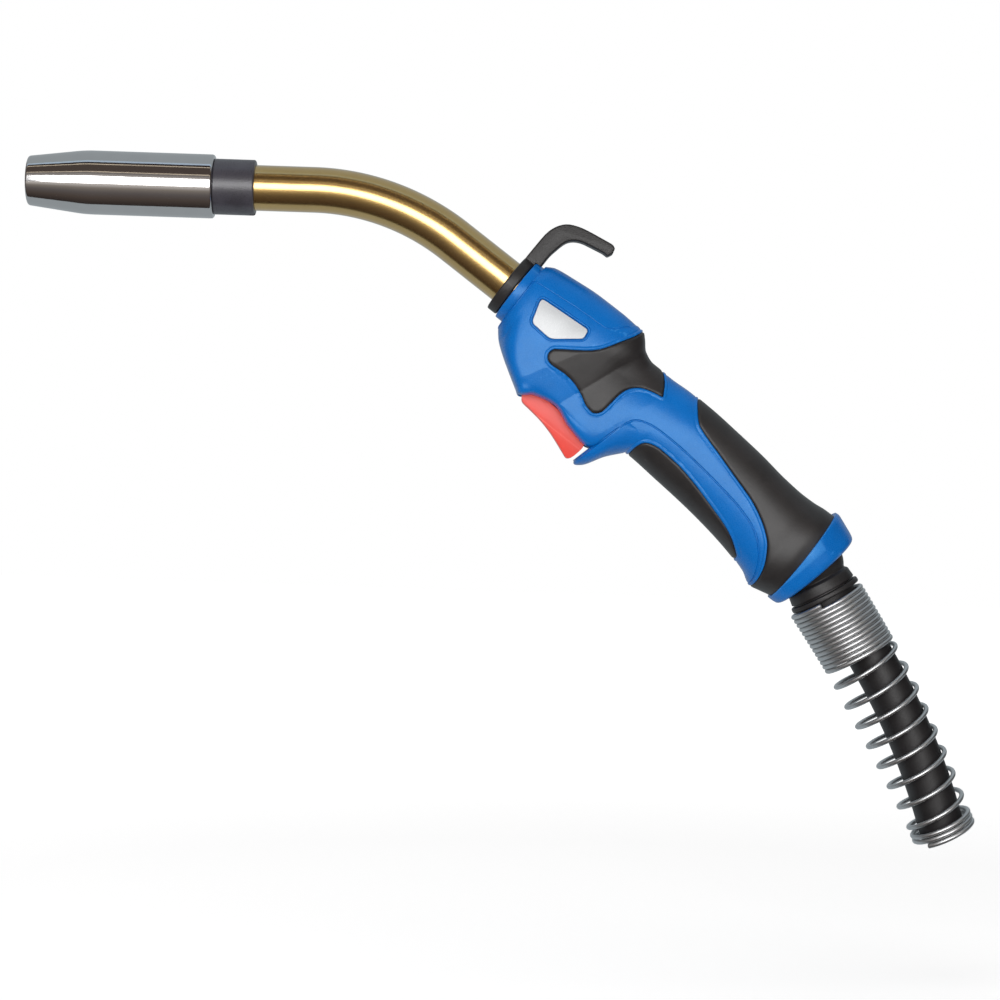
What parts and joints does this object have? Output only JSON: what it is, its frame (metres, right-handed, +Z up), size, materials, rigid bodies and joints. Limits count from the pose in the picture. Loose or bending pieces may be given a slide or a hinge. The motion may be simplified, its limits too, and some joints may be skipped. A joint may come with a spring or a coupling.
{
  "type": "mig welding torch",
  "caption": "Hand-held MIG welding torch: bent brass neck with chromed gas nozzle, two-shell handle with grip pads and trigger, hanging hook and a ball joint with a bend spring.",
  "frame": {"origin": "middle of the hand grip, on the plane of symmetry of the handle", "axes": "-X along the nozzle axis, out of the mouth; +Z up, on the side of the handle away from the trigger; the handle slopes down towards +X in the plane Y = 0"},
  "size_m": [0.4257, 0.0478, 0.2928],
  "materials": {
    "blue_housing": "fine grained moulded plastic",
    "black_grip": "matt soft-touch elastomer",
    "silver_plate": "satin",
    "coral_trigger": "satin moulded plastic",
    "brass_neck": "drawn and lacquered",
    "brass": "turned",
    "copper": "turned copper alloy",
    "chrome_nozzle": "polished chrome plate",
    "dark_insulator": "moulded fibre-filled phenolic",
    "white_insulation": "glass-filled polymer",
    "black_plastic": "moulded nylon",
    "black_rubber": "extruded rubber",
    "zinc_steel": "zinc plated"
  },
  "bodies": {
    "handle": {"handle_left_shell": "blue_housing", "handle_right_shell": "blue_housing", "front_pad_left": "black_grip", "front_pad_right": "black_grip", "back_pad_left": "black_grip", "back_pad_right": "black_grip", "palm_pad_left": "black_grip", "palm_pad_right": "black_grip", "badge_plate": "silver_plate", "handle_screws": "zinc_steel", "trigger_pin": "zinc_steel", "trigger_spring": "zinc_steel", "micro_switch": "black_plastic", "neck_outer_tube": "brass_neck", "neck_insulation": "white_insulation", "neck_inner_tube": "copper", "wire_liner": "zinc_steel", "neck_connector": "brass", "neck_clamp": "zinc_steel", "nozzle_insulator": "dark_insulator", "nozzle_retaining_spring": "zinc_steel", "tip_holder": "brass", "gas_diffuser": "white_insulation", "contact_tip": "copper", "rear_collar": "blue_housing"},
    "trigger": {"trigger": "coral_trigger"},
    "plunger": {"switch_plunger": "coral_trigger"},
    "nozzle": {"gas_nozzle": "chrome_nozzle"},
    "hook": {"hook": "black_plastic"},
    "seat": {"ball_seat": "black_plastic"},
    "sleeve": {"ball_sleeve": "black_plastic", "cable_sleeve": "black_rubber", "bend_spring": "zinc_steel"}
  },
  "joints": [
    {"name": "trigger_press", "type": "hinge", "parent": "handle", "child": "trigger", "pos_m": [-0.07484, 0, 0.02909], "axis": [0, -1, 0], "range_deg": [0, 6], "stiffness_Nm_per_rad": 1, "springref_deg": -8.59, "deforming": ["trigger_spring"]},
    {"name": "switch_press", "type": "slide", "parent": "handle", "child": "plunger", "axis": [0.5934, 0, 0.8049], "range_m": [0, 0.0025]},
    {"name": "nozzle_pull", "type": "slide", "parent": "handle", "child": "nozzle", "axis": [-1, 0, 0], "range_m": [0, 0.018]},
    {"name": "hook_swivel", "type": "hinge", "parent": "handle", "child": "hook", "pos_m": [-0.08379, 0, 0.07172], "axis": [0.8049, 0, -0.5934], "range_deg": [-180, 180]},
    {"name": "ball_swivel", "type": "hinge", "parent": "handle", "child": "seat", "pos_m": [0.04897, 0, -0.0448], "axis": [0.6769, 0, -0.7361], "range_deg": [-180, 180]},
    {"name": "ball_tilt", "type": "hinge", "parent": "seat", "child": "sleeve", "pos_m": [0.04897, 0, -0.0448], "axis": [0, 1, 0], "range_deg": [-26.4, 0]}
  ],
  "couplings": [
    {"joint": "switch_press", "follows": "trigger_press", "m_per_rad": 0.0235}
  ]
}
